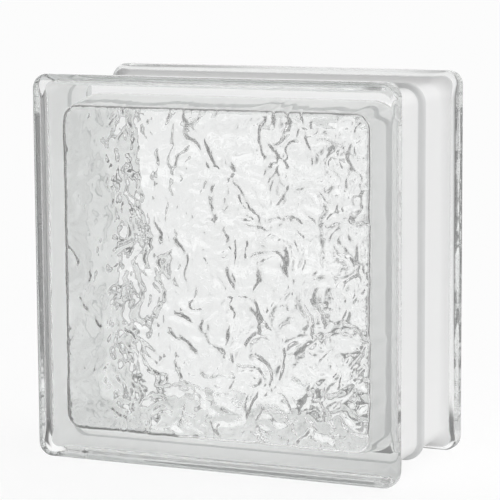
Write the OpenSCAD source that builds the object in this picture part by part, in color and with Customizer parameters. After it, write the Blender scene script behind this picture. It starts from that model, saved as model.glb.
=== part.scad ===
// Hollow glass block for walls: two pressed halves fused into one sealed piece,
// with rims around both faces and a mortar channel between them on all four sides.

/* [Face] */
// Width and height of the square face
face_size = 196.9; // [150:0.1:300]
// Depth from one face to the other
block_depth = 98.4; // [90:0.1:120]

/* [Rims] */
// Corner radius of the rims, seen from the front
rim_corner_r = 7.5; // [6:0.5:12]
// Rounding of the edge around each face
face_edge_r = 3; // [1:0.5:5]
// Distance from each face to the end of the rim's flat land
land_w = 6.5; // [5.5:0.5:8]
// Angle at which the rim draws in behind its land
rim_taper = 17; // [5:1:25]
// Distance from each face to the lip where the rim ends
rim_w = 11.5; // [10:0.5:14]

/* [Mortar channel] */
// Depth of the channel below the rims
channel_depth = 6; // [4:0.5:7]
// Radius of the cove that drops from each rim's lip to the channel floor
cove_r = 12; // [11:0.5:20]
// Corner radius of the channel floor
channel_corner_r = 8; // [6:0.5:14]

/* [Seam] */
// Width of the fused bead that runs around the middle of the channel
seam_w = 6.4; // [4:0.2:10]
// Height of the bead above the channel floor
seam_h = 2.6; // [0.5:0.1:3]
// Width of the smaller bead inside the cavity
inner_seam_w = 6; // [4:0.2:8]
// Height of the smaller bead inside the cavity
inner_seam_h = 1.2; // [0.4:0.1:1.6]

/* [Cavity] */
// Thickness of each face panel
panel_t = 6.3; // [4:0.1:9]
// Distance from the rim to the cavity wall, measured at the panel
wall_at_panel = 15.5; // [14:0.5:20]
// Distance that each cavity wall opens out between panel and seam
cavity_draft = 4.5; // [1:0.5:7]
// Corner radius of the cavity at the panel
cavity_corner_r = 8; // [6:0.5:14]
// Fillet between panel and cavity wall
cavity_fillet_r = 2.5; // [1:0.5:5]

/* [Hidden] */
$fn = 64;
half_face = face_size / 2;
half_depth = block_depth / 2;
// Corner centres of the three swept outlines
rim_c = half_face - rim_corner_r;
channel_c = half_face - channel_depth - channel_corner_r;
cavity_c = half_face - wall_at_panel - cavity_corner_r;
// How far the blank's taper runs on past the lip, so that it crosses the cove
taper_run_on = 1;
taper_end = rim_w + taper_run_on;
taper_inset = (taper_end - land_w) * tan(rim_taper);
// How far the taper has drawn the rim in at its lip
lip_inset = (rim_w - land_w) * tan(rim_taper);
// Where the cove meets the channel floor, and how far out its centre lies from the floor's corner centre
cove_rise = channel_depth - lip_inset;
floor_start = rim_w + sqrt(cove_rise * (2 * cove_r - cove_rise));
cove_u = channel_corner_r + cove_r;
// Slope of the cavity wall, and where its fillet sits
draft_a = atan(cavity_draft / (half_depth - panel_t));
fillet_u = cavity_corner_r + cavity_fillet_r * (tan(draft_a) - 1 / cos(draft_a));

// Radius of the circle whose cap has this width and height
function cap_r(w, h) = (w * w / 4 + h * h) / (2 * h);

// Sweeps a profile around a square with rounded corners: x is outward from the corner centre, y is depth
module ring_sweep(corner_c, from_v, to_v) {
    for (turn = [0:90:270]) {
        rotate(turn) translate([corner_c, corner_c, 0]) {
            rotate_extrude(angle = 90) children();
            rotate([90, 0, 0]) linear_extrude(2 * corner_c) children();
        }
    }
    translate([-corner_c, -corner_c, from_v]) cube([2 * corner_c, 2 * corner_c, to_v - from_v]);
}

// A half section and its mirror image in the other half of the block
module both_halves() {
    children();
    translate([0, block_depth]) mirror([0, 1]) children();
}

// Half section of the blank: rounded edge, flat land and taper
module blank_half_profile() {
    inner_u = rim_corner_r - face_edge_r;
    polygon([
        [0, 0],
        [inner_u, 0],
        [inner_u, face_edge_r],
        [rim_corner_r, face_edge_r],
        [rim_corner_r, land_w],
        [rim_corner_r - taper_inset, taper_end],
        [rim_corner_r - taper_inset, half_depth],
        [0, half_depth]
    ]);
    intersection() {
        translate([inner_u, face_edge_r]) circle(face_edge_r);
        translate([inner_u, 0]) square(face_edge_r);
    }
}

// Half section of the waist: cove and channel floor
module waist_half_profile() {
    difference() {
        square([cove_u, floor_start]);
        translate([cove_u, floor_start]) circle(cove_r);
    }
    square([channel_corner_r, half_depth]);
}

// Section of the whole waist, with the bead along its seam
module waist_profile() {
    bead_r = cap_r(seam_w, seam_h);
    both_halves() waist_half_profile();
    intersection() {
        translate([channel_corner_r + seam_h - bead_r, half_depth]) circle(bead_r);
        translate([0, half_depth - seam_w]) square([channel_corner_r + channel_depth, 2 * seam_w]);
    }
}

// Half section of the cavity, from the panel to the seam
module cavity_half_profile() {
    polygon([
        [0, panel_t],
        [fillet_u, panel_t],
        [fillet_u + cavity_fillet_r * cos(draft_a), panel_t + cavity_fillet_r * (1 - sin(draft_a))],
        [cavity_corner_r + cavity_draft, half_depth],
        [0, half_depth]
    ]);
    intersection() {
        translate([fillet_u, panel_t + cavity_fillet_r]) circle(cavity_fillet_r);
        translate([fillet_u, panel_t]) square(cavity_fillet_r);
    }
}

// Section of the whole cavity, with the smaller bead standing into it
module cavity_profile() {
    bead_r = cap_r(inner_seam_w, inner_seam_h);
    difference() {
        both_halves() cavity_half_profile();
        translate([cavity_corner_r + cavity_draft - inner_seam_h + bead_r, half_depth]) circle(bead_r);
    }
}

// The hollow block with its depth along z, from the front face at z = 0
module block_solid() {
    difference() {
        intersection() {
            ring_sweep(rim_c, 0, block_depth) both_halves() blank_half_profile();
            ring_sweep(channel_c, 0, block_depth) waist_profile();
        }
        ring_sweep(cavity_c, panel_t, block_depth - panel_t) cavity_profile();
    }
}

// Glass block, stood up on its lower rims
module glass_block() {
    color([0.78, 0.88, 0.86]) translate([0, -half_depth, half_face]) rotate([-90, 0, 0]) block_solid();
}

glass_block();
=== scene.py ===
"""Dresses the hollow glass block: clear glass, a crinkled relief inside and a white coat in its channel."""
import logging
import math
from abc import ABC, abstractmethod
from dataclasses import dataclass, field
from enum import Enum, IntEnum
from typing import Any, Iterable, NamedTuple, Union

import bmesh
import bpy
from mathutils import Matrix, Vector, noise


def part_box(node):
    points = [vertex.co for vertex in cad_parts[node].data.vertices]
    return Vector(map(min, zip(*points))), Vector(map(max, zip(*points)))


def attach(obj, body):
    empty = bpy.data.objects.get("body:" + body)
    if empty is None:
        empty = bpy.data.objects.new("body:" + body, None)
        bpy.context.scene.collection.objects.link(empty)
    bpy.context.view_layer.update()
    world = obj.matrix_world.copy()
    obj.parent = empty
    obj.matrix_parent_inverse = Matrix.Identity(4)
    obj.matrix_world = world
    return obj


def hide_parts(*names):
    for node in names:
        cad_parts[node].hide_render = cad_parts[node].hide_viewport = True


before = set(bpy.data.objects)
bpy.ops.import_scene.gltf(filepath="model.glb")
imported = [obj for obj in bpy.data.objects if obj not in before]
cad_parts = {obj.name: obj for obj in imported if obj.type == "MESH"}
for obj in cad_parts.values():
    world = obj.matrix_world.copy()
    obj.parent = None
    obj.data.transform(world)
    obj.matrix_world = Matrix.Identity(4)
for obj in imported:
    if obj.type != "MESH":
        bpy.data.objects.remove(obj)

LOG = logging.getLogger("glass_block")
MM = 0.001
NODE = "glass_block"
RECESS = "recess"
WHITE = (1.0, 1.0, 1.0)
BLACK = (0.0, 0.0, 0.0)
NOISE_MEAN = 0.5

Colour = tuple[float, float, float]
Number = Union[float, "Value"]
Socket = bpy.types.NodeSocket
Key = Union[int, str]
Settings = dict[str, Any]
Inputs = dict[Key, Any]


class Side(Enum):
    """Which half of the block a surface belongs to, with its sign along the depth axis."""

    FRONT = -1
    BACK = 1


class Finish(Enum):
    """Material slots of the block's mesh."""

    GLASS = 0
    COAT = 1
    COAT_EDGE = 2
    SEAM = 3
    FACE_EDGE = 4


class NoiseLayer(IntEnum):
    """Layers of the relief's noise, where each kind of fold has its own from the first on."""

    WARP_X = 0
    WARP_Z = 1
    SWELL = 2
    FIRST_FOLD = 3
    FIRST_FADE = 13


RELIEF_SEEDS = {Side.FRONT: 3.1, Side.BACK: 11.4}


class Value:
    """A shader socket that holds a number and takes part in Python expressions."""

    def __init__(self, shader: "Shader", socket: Socket) -> None:
        """Keeps the socket and the shader that it belongs to."""
        self.shader = shader
        self.socket = socket

    def _math(self, operation: str, first: Number, second: Number) -> "Value":
        """Adds a Math node.

        Args:
            operation: Name of the Math node's operation.
            first: Its first input.
            second: Its second input.

        Returns:
            The node's result.
        """
        return self.shader.value("ShaderNodeMath", {"operation": operation}, {0: first, 1: second})

    def __add__(self, other: Number) -> "Value":
        """Sum."""
        return self._math("ADD", self, other)

    __radd__ = __add__

    def __mul__(self, other: Number) -> "Value":
        """Product."""
        return self._math("MULTIPLY", self, other)

    __rmul__ = __mul__

    def __sub__(self, other: Number) -> "Value":
        """Difference."""
        return self._math("SUBTRACT", self, other)

    def __rsub__(self, other: Number) -> "Value":
        """Difference with the socket on the right."""
        return self._math("SUBTRACT", other, self)

    def __or__(self, other: Number) -> "Value":
        """The larger of the two, so that it reads as "or" on masks."""
        return self._math("MAXIMUM", self, other)


class Shader:
    """A node tree with one method that makes any node, and short forms of the nodes that are used often."""

    def __init__(self, owner: Union[bpy.types.Material, bpy.types.World]) -> None:
        """Empties the owner's node tree.

        Args:
            owner: The material or world whose nodes are to be written.
        """
        owner.use_nodes = True
        self.owner = owner
        self.tree = owner.node_tree
        self.tree.nodes.clear()

    def node(self, kind: str, settings: Settings, inputs: Inputs) -> bpy.types.Node:
        """Makes a node, sets it up and feeds its sockets.

        Args:
            kind: The node's type.
            settings: Properties to set first.
            inputs: Socket name or index to a number, colour, Value or socket.

        Returns:
            The new node.
        """
        made = self.tree.nodes.new(kind)
        for name, setting in settings.items():
            setattr(made, name, setting)
        for key, given in inputs.items():
            source = given.socket if isinstance(given, Value) else given
            if isinstance(source, Socket):
                self.tree.links.new(source, made.inputs[key])
            else:
                made.inputs[key].default_value = source
        return made

    def value(self, kind: str, settings: Settings, inputs: Inputs, out: Key = 0) -> Value:
        """Makes a node and wraps one of its outputs as a Value."""
        return Value(self, self.node(kind, settings, inputs).outputs[out])

    def object_coordinates(self) -> Socket:
        """The piece's own coordinates, in metres."""
        return self.node("ShaderNodeTexCoord", {}, {}).outputs["Object"]

    def noise(self, size: float, detail: float) -> Value:
        """Adds a noise texture on the piece's own coordinates.

        Args:
            size: Size of the texture's patches.
            detail: How many finer layers are added.

        Returns:
            The noise, of about 0 to 1.
        """
        inputs = {"Vector": self.object_coordinates(), "Scale": 1 / size, "Detail": detail}
        return self.value("ShaderNodeTexNoise", {}, inputs)

    def smooth_step(
        self, value: Value, ends: tuple[float, float], levels: tuple[float, float] = (0.0, 1.0)
    ) -> Value:
        """Adds a smooth change from one level to another.

        Args:
            value: What decides the level.
            ends: The value at which the change starts, and the one at which it ends.
            levels: The level before the change and the one after it.

        Returns:
            The level.
        """
        inputs = {
            "Value": value,
            "From Min": ends[0],
            "From Max": ends[1],
            "To Min": levels[0],
            "To Max": levels[1],
        }
        return self.value("ShaderNodeMapRange", {"interpolation_type": "SMOOTHSTEP"}, inputs)

    def bump(self, height: Value, distance: float) -> Socket:
        """Adds a bump and gives its normal."""
        inputs = {"Height": height, "Distance": distance, "Strength": 1.0}
        return self.node("ShaderNodeBump", {}, inputs).outputs["Normal"]

    def blend_colours(self, share: Value, first: Colour, second: Colour) -> Socket:
        """Adds a mix of two colours, where a share of 1 gives the second."""
        inputs = {"Factor": share, "A": (*first, 1.0), "B": (*second, 1.0)}
        return self.node("ShaderNodeMix", {"data_type": "RGBA"}, inputs).outputs["Result"]

    def blend(self, share: Number, first: Socket, second: Socket) -> Socket:
        """Adds a mix of two shaders, where a share of 1 gives the second."""
        return self.node("ShaderNodeMixShader", {}, {0: share, 1: first, 2: second}).outputs[0]

    def principled(self, inputs: dict[str, Any]) -> Socket:
        """Adds a Principled shader."""
        return self.node("ShaderNodeBsdfPrincipled", {}, inputs).outputs[0]

    def matt(self, colour: Colour) -> Socket:
        """Adds a plain matt shader."""
        return self.node("ShaderNodeBsdfDiffuse", {}, {"Color": (*colour, 1.0)}).outputs[0]

    def glow(self, colour: Colour) -> Socket:
        """Adds a shader that shows a colour as it is, without light."""
        return self.node("ShaderNodeEmission", {}, {"Color": (*colour, 1.0), "Strength": 1.0}).outputs[0]

    def finish(self, shader: Socket) -> None:
        """Feeds the output node."""
        is_world = isinstance(self.owner, bpy.types.World)
        kind = "ShaderNodeOutputWorld" if is_world else "ShaderNodeOutputMaterial"
        self.node(kind, {}, {"Surface": shader})


@dataclass(frozen=True)
class SurfaceFinish(ABC):
    """A finish that writes its own material."""

    name: str

    def material(self) -> bpy.types.Material:
        """Writes the material."""
        made = bpy.data.materials.new(self.name)
        shader = Shader(made)
        shader.finish(self.surface(shader))
        return made

    @abstractmethod
    def surface(self, shader: Shader) -> Socket:
        """Adds the finish to a node tree.

        Args:
            shader: The tree to add it to.

        Returns:
            The finish's shader.
        """


@dataclass(frozen=True)
class PressedGlass(SurfaceFinish):
    """Clear soda-lime glass with the faint green of thick glass and a faint ripple from the press."""

    ior: float = 1.52
    tint: Colour = (0.995, 1.0, 0.998)
    ripple_size: float = 9 * MM
    ripple_detail: float = 2.0
    ripple_height: float = 0.004 * MM

    def surface(self, shader: Shader) -> Socket:
        """Adds the glass to a node tree.

        Args:
            shader: The tree to add it to.

        Returns:
            The glass shader.
        """
        ripple = shader.noise(self.ripple_size, self.ripple_detail)
        return shader.principled(
            {
                "Base Color": self._colour(shader),
                "Roughness": 0.0,
                "IOR": self.ior,
                "Transmission Weight": 1.0,
                "Normal": shader.bump(ripple, self.ripple_height),
            }
        )

    def _colour(self, shader: Shader) -> Union[tuple[float, ...], Socket]:
        """The glass's colour, which is the same all over."""
        return (*self.tint, 1.0)


@dataclass(frozen=True)
class ShadedEdgeGlass(PressedGlass):
    """Glass of the rounded edge around each face, grey with painted shade, and lightened with painted light
    to clear glass along the block's right side.
    """

    # Painted shade and light: the grey stands for the shade on the face edge, and the clear colour on the
    # right side stands for painted light.
    tint: Colour = (0.6, 0.62, 0.617)
    lit_right_tint: Colour = (0.98, 0.99, 0.986)
    lit_from: float = 84 * MM
    fully_lit_at: float = 94 * MM

    def _colour(self, shader: Shader) -> Union[tuple[float, ...], Socket]:
        """Adds the change across the block's width, from the painted shade's grey to the painted light's
        clear colour on the right.
        """
        x = shader.value("ShaderNodeSeparateXYZ", {}, {0: shader.object_coordinates()}, "X")
        # Share of the painted light, which grows towards the right side.
        clear = shader.smooth_step(x, (self.lit_from, self.fully_lit_at))
        return shader.blend_colours(clear, self.tint, self.lit_right_tint)


@dataclass(frozen=True)
class ChannelCoat(SurfaceFinish):
    """White bonding coat, brushed on the channel: mottled, finely grained and slightly translucent."""

    white: Colour = (0.985, 0.985, 0.982)
    thin_white: Colour = (0.96, 0.962, 0.96)
    passes: float = 0.03
    mottle_size: float = 14 * MM
    mottle_detail: float = 4.0
    grain_size: float = 0.9 * MM
    grain_detail: float = 2.0
    grain_height: float = 0.03 * MM
    roughness: float = 0.5
    gloss: float = 0.3

    def surface(self, shader: Shader) -> Socket:
        """Adds the coat to a node tree.

        Args:
            shader: The tree to add it to.

        Returns:
            The coat's shader.
        """
        mottle = shader.noise(self.mottle_size, self.mottle_detail)
        grain = shader.noise(self.grain_size, self.grain_detail)
        coat = shader.principled(
            {
                "Base Color": shader.blend_colours(mottle, self.thin_white, self.white),
                "Roughness": self.roughness,
                "Specular IOR Level": self.gloss,
                "Normal": shader.bump(grain, self.grain_height),
            }
        )
        through = shader.node("ShaderNodeBsdfTranslucent", {}, {"Color": (*self.white, 1.0)})
        return shader.blend(self.passes, coat, through.outputs[0])


@dataclass(frozen=True)
class ShadedSeamCoat(ChannelCoat):
    """The coat on the bead along the seam, greyed with painted shade."""

    # Greyer whites: painted shade on the bead, darker than the channel coat.
    white: Colour = (0.84, 0.845, 0.845)
    thin_white: Colour = (0.77, 0.775, 0.775)


@dataclass(frozen=True)
class CoatEdge(SurfaceFinish):
    """The strip of each cove where the brushed coat thins out and leaves the glass clear.

    Attributes:
        glass: The glass that is left clear.
        coat: The coat that thins out.
        starts: How far below the rim the coat starts.
        full: How far below the rim it covers all.
        lower_in_front: How much lower it lies on the front half.
        fray_size: Size of the edge's frays.
        fray_detail: How many finer layers the frays have.
        fray_reach: How far the frays move the edge up and down.
    """

    glass: PressedGlass
    coat: ChannelCoat
    starts: float = 2.6 * MM
    full: float = 3.2 * MM
    lower_in_front: float = 1.7 * MM
    fray_size: float = 5 * MM
    fray_detail: float = 3.0
    fray_reach: float = 0.5 * MM

    @property
    def clear_to(self) -> float:
        """How far below the rim the glass is clear everywhere."""
        return self.starts - self.fray_reach / 2

    @property
    def covered_from(self) -> float:
        """How far below the rim the coat starts to cover all."""
        return self.full + self.fray_reach / 2

    def surface(self, shader: Shader) -> Socket:
        """Adds glass and coat to a node tree, with the coat's edge placed by how deep the cove lies.

        Args:
            shader: The tree to add them to.

        Returns:
            The mixed shader.
        """
        recess = shader.value("ShaderNodeAttribute", {"attribute_name": RECESS}, {}, "Fac")
        fray = shader.noise(self.fray_size, self.fray_detail)
        edge = recess + (fray - NOISE_MEAN) * self.fray_reach
        cover = shader.smooth_step(edge, (self.starts, self.full))
        return shader.blend(cover, self.glass.surface(shader), self.coat.surface(shader))


@dataclass
class Relief:
    """Crinkled relief on the inside of a panel: soft swells crossed by short curved folds of several sizes.

    Attributes:
        seed: Number that sets the pattern.
        half_width: Half the width of the block's face.
        swell_size: Size of the swells.
        swell_height: Height of the swells.
        fold_sizes: Distance between folds, for each kind of fold.
        fold_heights: Height of the folds, for each kind of fold.
        fold_narrowness: How narrow a fold is beside the distance between folds.
        fold_fade: How abruptly a fold ends.
        fade_stretch: Length of a fold beside the distance between folds.
        warp_size: Size of the bends in the folds.
        warp_reach: How far the bends move a fold.
        right_gain: How much higher the relief grows towards the right side.
        seed_step: How far each unit of the seed moves the noise.
        layer_step: How far apart the layers lie in the noise.
    """

    seed: float
    half_width: float
    swell_size: float = 22 * MM
    swell_height: float = 1.8 * MM
    fold_sizes: tuple[float, ...] = (13 * MM, 7 * MM, 4 * MM, 2.6 * MM)
    fold_heights: tuple[float, ...] = (2.1 * MM, 1.38 * MM, 0.8 * MM, 0.39 * MM)
    fold_narrowness: float = 1.8
    fold_fade: float = 2.5
    fade_stretch: float = 1.7
    warp_size: float = 16 * MM
    warp_reach: float = 9 * MM
    right_gain: float = 0.6
    seed_step: tuple[float, float, float] = (1.0, 2.3, 0.0)
    layer_step: tuple[float, float, float] = (13.7, -5.1, 0.37)

    def _noise(self, place: Vector, size: float, layer: int) -> float:
        """Smooth noise of about -1 to 1 with patches of a size, different for each layer."""
        steps = zip(self.seed_step, self.layer_step)
        shift = Vector([self.seed * by_seed + layer * by_layer for by_seed, by_layer in steps])
        return noise.noise(place / size + shift)

    def height(self, x: float, z: float) -> float:
        """Height of the relief over the panel's mean surface.

        Args:
            x: Place along the panel's width, from its centre.
            z: Place along the panel's height, from its centre.

        Returns:
            The height towards the cavity, in metres.
        """
        place = Vector((x, z, 0.0))
        warp_x = self._noise(place, self.warp_size, NoiseLayer.WARP_X)
        warp_z = self._noise(place, self.warp_size, NoiseLayer.WARP_Z)
        bent = place + Vector((warp_x, warp_z, 0.0)) * self.warp_reach
        total = self.swell_height * self._noise(bent, self.swell_size, NoiseLayer.SWELL)
        for kind, (size, high) in enumerate(zip(self.fold_sizes, self.fold_heights)):
            across = abs(self._noise(bent, size, NoiseLayer.FIRST_FOLD + kind))
            crest = max(1 - across * self.fold_narrowness, 0.0) ** 2
            along = self._noise(place, size * self.fade_stretch, NoiseLayer.FIRST_FADE + kind)
            total += high * crest * min(max(along * self.fold_fade, -1.0), 1.0)
        return total * (1 + self.right_gain * x / self.half_width)


@dataclass
class BlockSizes:
    """Sizes of the block, in metres, with depths measured from the nearest face."""

    face: float
    depth: float
    rim_corner_r: float = 7.5 * MM
    face_edge_r: float = 3 * MM
    land_w: float = 6.5 * MM
    taper: float = math.radians(17)
    rim_w: float = 11.5 * MM
    channel_depth: float = 6 * MM
    cove_r: float = 12 * MM
    channel_corner_r: float = 8 * MM
    seam_w: float = 6.4 * MM
    seam_h: float = 2.6 * MM
    panel_t: float = 6.3 * MM
    wall_at_panel: float = 15.5 * MM
    cavity_draft: float = 4.5 * MM
    cavity_corner_r: float = 8 * MM
    cavity_fillet_r: float = 2.5 * MM
    inner_seam_w: float = 6 * MM
    inner_seam_h: float = 1.2 * MM
    rim_soften: float = 0.8 * MM
    seam_soften: float = 0.6 * MM

    @property
    def half_face(self) -> float:
        """Half the face's width."""
        return self.face / 2

    @property
    def half_depth(self) -> float:
        """Half the block's depth."""
        return self.depth / 2

    @property
    def rim_c(self) -> float:
        """Corner centre of the rims."""
        return self.half_face - self.rim_corner_r

    @property
    def channel_c(self) -> float:
        """Corner centre of the channel floor."""
        return self.half_face - self.channel_depth - self.channel_corner_r

    @property
    def lip_depth(self) -> float:
        """How far the taper has drawn the rim in at its lip, where the cove starts."""
        return (self.rim_w - self.land_w) * math.tan(self.taper)

    @property
    def taper_end(self) -> float:
        """How far in the taper's line runs, which is past the lip, where the cove has taken over."""
        return self.channel_depth / 2

    @property
    def floor_start(self) -> float:
        """Depth at which the cove meets the channel floor."""
        rise = self.channel_depth - self.lip_depth
        return self.rim_w + math.sqrt(rise * (2 * self.cove_r - rise))

    @property
    def cavity_c(self) -> float:
        """Corner centre of the cavity."""
        return self.half_face - self.wall_at_panel - self.cavity_corner_r

    @property
    def draft(self) -> float:
        """Slope of the cavity wall."""
        return math.atan(self.cavity_draft / (self.half_depth - self.panel_t))

    @property
    def fillet_u(self) -> float:
        """Corner radius of the cavity where its fillet leaves the panel."""
        return self.cavity_corner_r + self.cavity_fillet_r * (math.tan(self.draft) - 1 / math.cos(self.draft))


class WallStation(NamedTuple):
    """A section of the cavity past its panel."""

    corner_r: float
    depth: float
    relief_share: float


def soft_least(a: float, b: float, width: float) -> float:
    """The smaller of two numbers, with the change from one to the other rounded over a width."""
    blend = max(width - abs(a - b), 0.0) / width
    return min(a, b) - blend * blend * width / 4


def bead_rise(from_crest: float, width: float, height: float) -> float:
    """Height of a rounded bead over its base, at a distance from its crest, and below zero beside it."""
    radius = (width ** 2 / 4 + height ** 2) / (2 * height)
    return height - radius + math.sqrt(max(radius ** 2 - from_crest ** 2, 0.0))


def nearest_in_square(place: Vector, half_width: float) -> Vector:
    """The point of a square around the centre that lies nearest to a place."""
    return Vector([max(-half_width, min(half_width, along)) for along in place])


@dataclass
class GlassBlock:
    """The whole block: an outer skin with rims, channel and seam, and a cavity skin with the relief.

    Attributes:
        sizes: The block's sizes.
        glass: Finish of the rims, faces and cavity.
        coat: Finish of the channel.
        edge: Finish of the strip where the coat ends.
        seam: Finish of the bead along the seam, greyed with painted shade.
        face_edge: Finish of the rounded edge around each face, grey with painted shade and lightened on the
            right with painted light.
        reliefs: The relief of each panel.
        arc_steps: Cuts around the rounded tip of a rim's corner.
        lead_steps: Cuts from each side up to the tip.
        side_support: Distance from a corner to the next cut along the side.
        edge_steps: Cuts across the rounded edge of a face.
        rim_cuts: Cuts from there to the channel floor.
        seam_steps: Cuts from the foot of the seam's bead to its crest.
        seam_foot: Width of the foot beside each bead.
        fillet_steps: Cuts across the cavity's fillet.
        relief_room: Depth over which the relief dies out on the cavity wall.
        inner_seam_steps: Cuts from the foot of the cavity's bead to its crest.
        panel_cells: Cells of a relief panel along each side.
        slack: Distance under which two places count as one.
        bm: The mesh in the making.
    """

    sizes: BlockSizes
    glass: PressedGlass
    coat: ChannelCoat
    edge: CoatEdge
    seam: ShadedSeamCoat
    face_edge: ShadedEdgeGlass
    reliefs: dict[Side, Relief]
    arc_steps: int = 12
    lead_steps: int = 5
    side_support: float = 3 * MM
    edge_steps: int = 16
    rim_cuts: int = 24
    seam_steps: int = 9
    seam_foot: float = 0.8 * MM
    fillet_steps: int = 4
    relief_room: float = 4 * MM
    inner_seam_steps: int = 4
    panel_cells: int = 187
    slack: float = 0.01 * MM
    bm: bmesh.types.BMesh = field(default_factory=bmesh.new)

    def build(self) -> bpy.types.Object:
        """Models both skins in one mesh.

        Returns:
            The block's object.
        """
        self._outer_skin()
        self._cavity_skin()
        mesh = bpy.data.meshes.new("block_glass")
        self.bm.to_mesh(mesh)
        self.bm.free()
        block = bpy.data.objects.new("block_glass", mesh)
        bpy.context.scene.collection.objects.link(block)
        return block

    def dress(self, block: bpy.types.Object) -> None:
        """Gives the block its finishes, in the order of their slots, and ties it to the frame.

        Args:
            block: The block's object.
        """
        for finish in (self.glass, self.coat, self.edge, self.seam, self.face_edge):
            block.data.materials.append(finish.material())
        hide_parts(NODE)
        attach(block, "root")

    def _extrude_ring(
        self, edges: list[bmesh.types.BMEdge]
    ) -> tuple[list[bmesh.types.BMVert], list[bmesh.types.BMEdge]]:
        """Draws a band of faces out of a closed ring of edges.

        Args:
            edges: The ring's edges.

        Returns:
            The vertices and the edges of the new ring, which still lies on the old one.
        """
        made = bmesh.ops.extrude_edge_only(self.bm, edges=edges)["geom"]
        ring = [part for part in made if isinstance(part, bmesh.types.BMVert)]
        near = set(ring)
        ends = [part for part in made if isinstance(part, bmesh.types.BMEdge) and near.issuperset(part.verts)]
        return ring, ends

    def _rim_reach(self, direction: Vector, inset: float) -> float:
        """Distance from the channel's corner centre to the rim's outline.

        Args:
            direction: Outward direction in the face's plane.
            inset: Distance that the outline is drawn in at its depth.

        Returns:
            The distance along the direction.
        """
        s = self.sizes
        step = s.rim_c - s.channel_c
        radius = s.rim_corner_r - inset
        wide, high = sorted((abs(direction.x), abs(direction.y)), reverse=True)
        flat = (step + radius) / wide
        if flat * high <= step:
            return flat
        along = step * (wide + high)
        return along + math.sqrt(along * along - 2 * step * step + radius * radius)

    def _waist_reach(self, v: float) -> float:
        """Distance from the channel's corner centre to the channel's surface.

        Args:
            v: Depth from the nearest face.

        Returns:
            The distance, with the cove and the seam's bead counted in.
        """
        s = self.sizes
        run = min(max(s.floor_start - v, 0.0), s.cove_r)
        rise = s.cove_r - math.sqrt(s.cove_r ** 2 - run ** 2)
        seam = bead_rise(s.half_depth - v, s.seam_w, s.seam_h)
        return s.channel_corner_r - soft_least(-rise, -seam, s.seam_soften)

    def _outer_depths(self) -> list[float]:
        """Depths of the outer skin's sections from the face to the seam's crest."""
        s = self.sizes
        turns = [math.pi / 2 * i / self.edge_steps for i in range(self.edge_steps + 1)]
        edge = [s.face_edge_r * (1 - math.cos(turn)) for turn in turns]
        rim_run = s.floor_start - s.face_edge_r
        rim = [s.face_edge_r + rim_run * i / self.rim_cuts for i in range(1, self.rim_cuts + 1)]
        seam_reach = s.seam_w / 2 + self.seam_foot
        seam_start = s.half_depth - seam_reach
        seam = [seam_start + seam_reach * i / self.seam_steps for i in range(self.seam_steps + 1)]
        return edge + rim + [(s.floor_start + seam_start) / 2] + seam

    def _outer_point(self, towards: Vector, v: float) -> tuple[float, float, float]:
        """Place of an outer section's point at a depth from the nearest face.

        Args:
            towards: Any point on the line that leads outward to the wanted one.
            v: Depth from the nearest face.

        Returns:
            The point's x and z, from the block's centre, and how far it lies inside the rim's outline, where
            the seam counts as channel floor.
        """
        s = self.sizes
        foot = nearest_in_square(towards, s.channel_c)
        direction = (towards - foot).normalized()
        short = max(s.face_edge_r - v, 0.0)
        inset = s.face_edge_r - math.sqrt(s.face_edge_r ** 2 - short ** 2)
        inset += min(max(v - s.land_w, 0.0) * math.tan(s.taper), s.taper_end)
        reach = soft_least(self._rim_reach(direction, inset), self._waist_reach(v), s.rim_soften)
        place = foot + direction * reach
        recess = self._rim_reach(direction, 0.0) - reach
        return place.x, place.y, max(recess, s.channel_depth) if v > s.floor_start else recess

    def _corner_directions(self) -> list[float]:
        """Angles at which a corner is cut, closest together on the rim's rounded tip."""
        s = self.sizes
        step = s.rim_c - s.channel_c
        tip = []
        for i in range(self.arc_steps + 1):
            turn = math.pi / 2 * i / self.arc_steps
            wide, high = s.rim_corner_r * math.cos(turn), s.rim_corner_r * math.sin(turn)
            tip.append(math.atan2(step + high, step + wide))
        lead = [tip[0] * i / self.lead_steps for i in range(self.lead_steps)]
        return lead + tip + [math.pi / 2 - angle for angle in reversed(lead)]

    def _outline_seeds(self) -> list[Vector]:
        """Points on a rounded square that stand for the outer sections' points, in order around the block."""
        s = self.sizes
        seeds = []
        for quarter in range(4):
            turn = Matrix.Rotation(quarter * math.pi / 2, 2)
            for angle in self._corner_directions():
                away = Vector((math.cos(angle), math.sin(angle))) * s.channel_corner_r
                seeds.append(turn @ (Vector((s.channel_c, s.channel_c)) + away))
            for along in (s.channel_c - self.side_support, self.side_support - s.channel_c):
                seeds.append(turn @ Vector((along, s.half_face)))
        return seeds

    def _outer_skin(self) -> None:
        """Models the rims, the channel with its seam, and both outer faces."""
        s = self.sizes
        recess = self.bm.verts.layers.float.new(RECESS)
        seeds = self._outline_seeds()
        disc = bmesh.ops.create_circle(self.bm, cap_ends=True, segments=len(seeds), radius=s.half_face)
        ring = disc["verts"]
        for vert, seed in zip(ring, seeds):
            x, z, _ = self._outer_point(seed, 0.0)
            vert.co = Vector((x, -s.half_depth, z + s.half_face))
        edges = list({edge for vert in ring for edge in vert.link_edges})
        half = self._outer_depths()
        for depth in half[1:] + [s.depth - v for v in reversed(half[:-1])]:
            ring, edges = self._extrude_ring(edges)
            for vert in ring:
                self._place_outer(vert, depth, recess)
        bmesh.ops.edgeloop_fill(self.bm, edges=edges)
        bmesh.ops.recalc_face_normals(self.bm, faces=self.bm.faces)
        for face in self.bm.faces:
            face.smooth = len(face.verts) == 4
            face.material_index = self._outer_finish(face, recess).value

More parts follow.
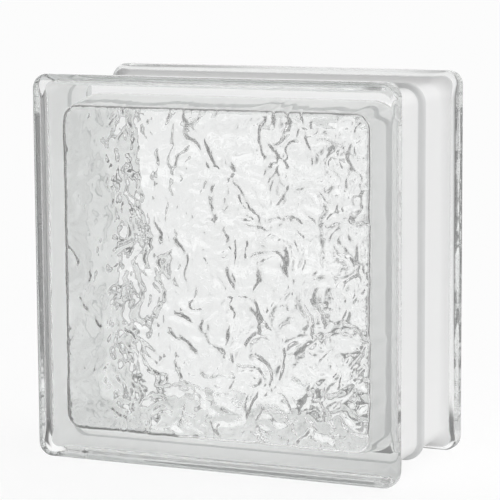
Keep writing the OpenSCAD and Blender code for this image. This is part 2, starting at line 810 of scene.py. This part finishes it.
    def _place_outer(self, vert: bmesh.types.BMVert, depth: float, recess: bmesh.types.BMLayerItem) -> None:
        """Moves a vertex of the outer skin to its section and notes how deep it lies below the rim.

        Args:
            vert: The vertex, on the section before.
            depth: Depth of its own section, from the front face.
            recess: Layer for how far the skin lies inside the rim's outline, less on the front half.
        """
        s = self.sizes
        v = min(depth, s.depth - depth)
        x, z, inside = self._outer_point(Vector((vert.co.x, vert.co.z - s.half_face)), v)
        vert.co = Vector((x, depth - s.half_depth, z + s.half_face))
        lower = self.edge.lower_in_front if depth < s.half_depth else 0.0
        vert[recess] = inside - lower if v > s.face_edge_r else 0.0

    def _outer_finish(self, face: bmesh.types.BMFace, recess: bmesh.types.BMLayerItem) -> Finish:
        """Chooses the finish of a face of the outer skin.

        Args:
            face: The face.
            recess: Layer for how far the skin lies inside the rim's outline.

        Returns:
            The finish.
        """
        s = self.sizes
        below_rim = [vert[recess] for vert in face.verts]
        from_middle = [abs(vert.co.y) for vert in face.verts]
        if min(below_rim) > self.edge.covered_from:
            on_seam = max(from_middle) < (s.seam_w + self.seam_foot) / 2
            return Finish.SEAM if on_seam else Finish.COAT
        if max(below_rim) < self.edge.clear_to:
            on_edge = face.smooth and s.half_depth - min(from_middle) < s.face_edge_r + self.slack
            return Finish.FACE_EDGE if on_edge else Finish.GLASS
        return Finish.COAT_EDGE

    def _cavity_skin(self) -> None:
        """Models the cavity: a relief panel and half of the walls for each side, joined at the seam."""
        old = set(self.bm.faces)
        for side in Side:
            self._cavity_half(side)
        faces = [face for face in self.bm.faces if face not in old]
        verts = list({vert for face in faces for vert in face.verts})
        bmesh.ops.remove_doubles(self.bm, verts=verts, dist=self.slack)
        faces = [face for face in self.bm.faces if face not in old]
        bmesh.ops.recalc_face_normals(self.bm, faces=faces)
        bmesh.ops.reverse_faces(self.bm, faces=faces)
        for face in faces:
            face.smooth = True
            face.material_index = Finish.GLASS.value

    def _panel_point(self, x: float, z: float) -> tuple[float, float]:
        """Moves a point of a square grid so that the grid fills the panel's rounded outline.

        Args:
            x: Place along the width, from the centre.
            z: Place along the height, from the centre.

        Returns:
            The moved place.
        """
        centre, radius = self.sizes.cavity_c, self.sizes.fillet_u
        u, w = (abs(x) - centre) / radius, (abs(z) - centre) / radius
        if u <= 0 or w <= 0:
            return x, z
        moved_u = centre + radius * u * math.sqrt(1 - w * w / 2)
        moved_w = centre + radius * w * math.sqrt(1 - u * u / 2)
        return math.copysign(moved_u, x), math.copysign(moved_w, z)

    def _wall_stations(self) -> Iterable[WallStation]:
        """Sections of half the cavity, from its panel to the seam: the fillet, the wall and the bead."""
        s = self.sizes
        sweep = math.pi / 2 - s.draft
        for i in range(1, self.fillet_steps + 1):
            turn = sweep * i / self.fillet_steps
            fillet_depth = s.panel_t + s.cavity_fillet_r * (1 - math.cos(turn))
            yield WallStation(s.fillet_u + s.cavity_fillet_r * math.sin(turn), fillet_depth, 1.0)
        wall_start = s.panel_t + s.cavity_fillet_r * (1 - math.cos(sweep)) + self.relief_room
        half_bead = s.inner_seam_w / 2
        bead_start = s.half_depth - half_bead
        bead = [bead_start + half_bead * i / self.inner_seam_steps for i in range(self.inner_seam_steps + 1)]
        for depth in [wall_start, bead_start - self.seam_foot] + bead:
            wall = s.cavity_corner_r + math.tan(s.draft) * (depth - s.panel_t)
            rise = max(bead_rise(s.half_depth - depth, s.inner_seam_w, s.inner_seam_h), 0.0)
            yield WallStation(wall - rise, depth, 0.0)

    def _cavity_half(self, side: Side) -> None:
        """Models one panel's inner face and the cavity walls from there to the seam.

        Args:
            side: The half to model.
        """
        s = self.sizes
        relief = self.reliefs[side]
        half_panel = s.cavity_c + s.fillet_u
        grid = bmesh.ops.create_grid(
            self.bm, x_segments=self.panel_cells, y_segments=self.panel_cells, size=half_panel
        )
        panel_y = side.value * (s.half_depth - s.panel_t)
        edges = list({edge for vert in grid["verts"] for edge in vert.link_edges if edge.is_boundary})
        for vert in grid["verts"]:
            x, z = self._panel_point(vert.co.x, vert.co.y)
            vert.co = Vector((x, panel_y - side.value * relief.height(x, z), z + s.half_face))
        for station in self._wall_stations():
            ring, edges = self._extrude_ring(edges)
            for vert in ring:
                here = Vector((vert.co.x, vert.co.z - s.half_face))
                foot = nearest_in_square(here, s.cavity_c)
                direction = (here - foot).normalized()
                start = foot + direction * s.fillet_u
                place = foot + direction * station.corner_r
                rise = relief.height(start.x, start.y) * station.relief_share
                y = side.value * (s.half_depth - station.depth - rise)
                vert.co = Vector((place.x, y, place.y + s.half_face))


@dataclass
class Studio:
    """A plain white floor and surround, and the camera.

    Matt surfaces are lit softly from all around, most from behind and from the right. The glass sees the
    surround white in front of the block and behind it, and dark beside it, which draws the block's edges.

    Attributes:
        camera_place: Where the camera stands.
        yaw: Turn of the camera to the left.
        pitch: Turn of the camera downwards.
        roll: Turn of the camera about its line of sight.
        lens: Focal length in millimetres.
        floor_size: Half the floor's width.
        floor_pale: How pale the floor is to the light that it scatters.
        floor_glow: Share of plain white in the floor as the camera sees it, beside its shading.
        floor_glow_in_glass: The same share as the glass sees it.
        side_light: Light on matt surfaces from all sides.
        through_gain: Light on them that is added from front and back alike.
        back_gain: Light on them that is moved from front to back.
        right_gain: Light on them that is moved from left to right.
        dark: How bright the glass sees the surround beside the block.
        floor_dark: How bright it sees the floor there.
        backdrop_edge: Angle from the line of sight at which the backdrop ends.
        backdrop_full: Angle within which the backdrop is white.
        front_edge: Angle at which the white in front of the block ends.
        front_full: Angle within which the surround in front is at its level.
        front_level: How bright the glass sees it there.
        top_light: How bright the glass sees the surround above.
        top_ends: Rise of the direction at which that light starts, and at which it is full.
        bounces: How often light may meet a surface.
    """

    camera_place: tuple[float, float, float] = (0.4845, -1.0885, 0.2774)
    yaw: float = math.radians(23.984)
    pitch: float = math.radians(8.199)
    roll: float = math.radians(-0.364)
    lens: float = 169.37
    floor_size: float = 30.0
    floor_pale: float = 0.8
    floor_glow: float = 0.88
    floor_glow_in_glass: float = 0.4
    side_light: float = 0.65
    through_gain: float = 0.5
    back_gain: float = 0.75
    right_gain: float = 0.6
    dark: float = 0.25
    floor_dark: float = 0.25
    backdrop_edge: float = math.radians(42)
    backdrop_full: float = math.radians(10)
    front_edge: float = math.radians(60)
    front_full: float = math.radians(40)
    front_level: float = 1.0
    top_light: float = 0.3
    top_ends: tuple[float, float] = (0.3, 0.8)
    bounces: int = 28

    def build(self) -> None:
        """Sets up the floor, the light and the camera."""
        bpy.context.scene.view_settings.view_transform = "Standard"
        cycles = bpy.context.scene.cycles
        cycles.blur_glossy = 0.0
        cycles.max_bounces = self.bounces
        cycles.transmission_bounces = self.bounces
        cycles.glossy_bounces = self.bounces
        cycles.diffuse_bounces = self.bounces
        self._floor()
        self._world()
        self._camera()

    def _floor(self) -> None:
        """Lays a pale floor that the camera and the glass see as white, apart from the block's shadow."""
        bm = bmesh.new()
        bmesh.ops.create_grid(bm, x_segments=1, y_segments=1, size=self.floor_size)
        mesh = bpy.data.meshes.new("floor")
        bm.to_mesh(mesh)
        bm.free()
        floor = bpy.data.objects.new("floor", mesh)
        bpy.context.scene.collection.objects.link(floor)
        mesh.materials.append(self._floor_material())

    def _floor_material(self) -> bpy.types.Material:
        """Writes the floor's material.

        Returns:
            The material, which shows a mix of white and shading to the camera and the glass, dark to the
            glass beside the backdrop, and plain pale paint to scattered light.
        """
        made = bpy.data.materials.new("white_floor")
        shader = Shader(made)
        path = shader.node("ShaderNodeLightPath", {}, {})
        direct = Value(shader, path.outputs["Is Camera Ray"])
        seen = direct | self._mirrored(shader, path)
        glow = self.floor_glow_in_glass + (self.floor_glow - self.floor_glow_in_glass) * direct
        place = shader.object_coordinates()
        outward = shader.node("ShaderNodeVectorMath", {"operation": "NORMALIZE"}, {0: place}).outputs[0]
        lit = direct | self._scattered(shader, path) | self._in_backdrop(shader, outward, self.floor_dark)
        shown = shader.blend(glow, shader.matt(WHITE), shader.glow(WHITE))
        dimmed = shader.blend(lit, shader.glow(BLACK), shown)
        shader.finish(shader.blend(seen, shader.matt((self.floor_pale,) * 3), dimmed))
        return made

    @staticmethod
    def _mirrored(shader: Shader, path: bpy.types.Node) -> Value:
        """One for light that glass has just mirrored or let through, else zero."""
        glossy = Value(shader, path.outputs["Is Glossy Ray"])
        return glossy | Value(shader, path.outputs["Is Transmission Ray"])

    @staticmethod
    def _scattered(shader: Shader, path: bpy.types.Node) -> Value:
        """One for light that a matt surface has scattered on its way, else zero."""
        times = path.outputs["Diffuse Depth"]
        return shader.value("ShaderNodeMath", {"operation": "MINIMUM"}, {0: times, 1: 1.0})

    def _in_backdrop(self, shader: Shader, outward: Socket, dark: float) -> Value:
        """How bright the glass sees the surround in a direction: white in line with the view, dark beside it.

        Args:
            shader: The tree to add to.
            outward: Unit direction away from the block.
            dark: Brightness beside the backdrop.

        Returns:
            The brightness.
        """
        heading = (-math.sin(self.yaw), math.cos(self.yaw), 0.0)
        inputs = {0: outward, 1: heading}
        facing = shader.value("ShaderNodeVectorMath", {"operation": "DOT_PRODUCT"}, inputs, "Value")
        backdrop_ends = (math.cos(self.backdrop_edge), math.cos(self.backdrop_full))
        behind = shader.smooth_step(facing, backdrop_ends, (dark, 1.0))
        front_ends = (math.cos(self.front_edge), math.cos(self.front_full))
        return behind | shader.smooth_step(0.0 - facing, front_ends, (dark, self.front_level))

    def _world(self) -> None:
        """Lights the scene from a white surround, which the glass sees dark beside the block."""
        world = bpy.data.worlds.new("studio")
        bpy.context.scene.world = world
        shader = Shader(world)
        path = shader.node("ShaderNodeLightPath", {}, {})
        away = shader.node("ShaderNodeTexCoord", {}, {}).outputs["Generated"]
        parts = shader.node("ShaderNodeSeparateXYZ", {}, {0: away}).outputs
        right, back, up = (Value(shader, parts[axis]) for axis in "XYZ")
        from_back = (self.back_gain + self.through_gain * back) * back
        diffuse = self.side_light + from_back + self.right_gain * right
        above = shader.smooth_step(up, self.top_ends, (0.0, self.top_light))
        glass = self._in_backdrop(shader, away, self.dark) | above
        by_glass = self._mirrored(shader, path) * (1.0 - self._scattered(shader, path))
        light = diffuse + by_glass * (glass - diffuse)
        seen = Value(shader, path.outputs["Is Camera Ray"])
        strength = light + seen * (1.0 - light)
        sky = shader.node("ShaderNodeBackground", {}, {"Color": (*WHITE, 1.0), "Strength": strength})
        shader.finish(sky.outputs[0])

    def _camera(self) -> None:
        """Sets the camera at the photograph's viewing angle."""
        level = math.cos(self.pitch)
        forward = Vector((-math.sin(self.yaw) * level, math.cos(self.yaw) * level, -math.sin(self.pitch)))
        right = Vector((math.cos(self.yaw), math.sin(self.yaw), 0.0))
        up = right.cross(forward)
        turned_right = right * math.cos(self.roll) + up * math.sin(self.roll)
        turned_up = up * math.cos(self.roll) - right * math.sin(self.roll)
        data = bpy.data.cameras.new("camera")
        data.lens = self.lens
        camera = bpy.data.objects.new("camera", data)
        axes = Matrix((turned_right, turned_up, -forward)).transposed().to_4x4()
        camera.matrix_world = Matrix.Translation(self.camera_place) @ axes
        bpy.context.scene.collection.objects.link(camera)
        bpy.context.scene.camera = camera


def main() -> None:
    logging.basicConfig(level=logging.INFO, format="%(message)s")
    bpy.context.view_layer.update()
    low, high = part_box(NODE)
    sizes = BlockSizes(face=high.x - low.x, depth=high.y - low.y)
    Studio().build()
    glass, coat = PressedGlass("pressed_glass"), ChannelCoat("channel_coat")
    maker = GlassBlock(
        sizes,
        glass,
        coat,
        edge=CoatEdge("coat_edge", glass, coat),
        seam=ShadedSeamCoat("shaded_seam_coat"),
        face_edge=ShadedEdgeGlass("shaded_edge_glass"),
        reliefs={side: Relief(seed, sizes.half_face) for side, seed in RELIEF_SEEDS.items()},
    )
    block = maker.build()
    maker.dress(block)
    LOG.info("%s: %d faces", block.name, len(block.data.polygons))


if __name__ == "__main__":
    main()
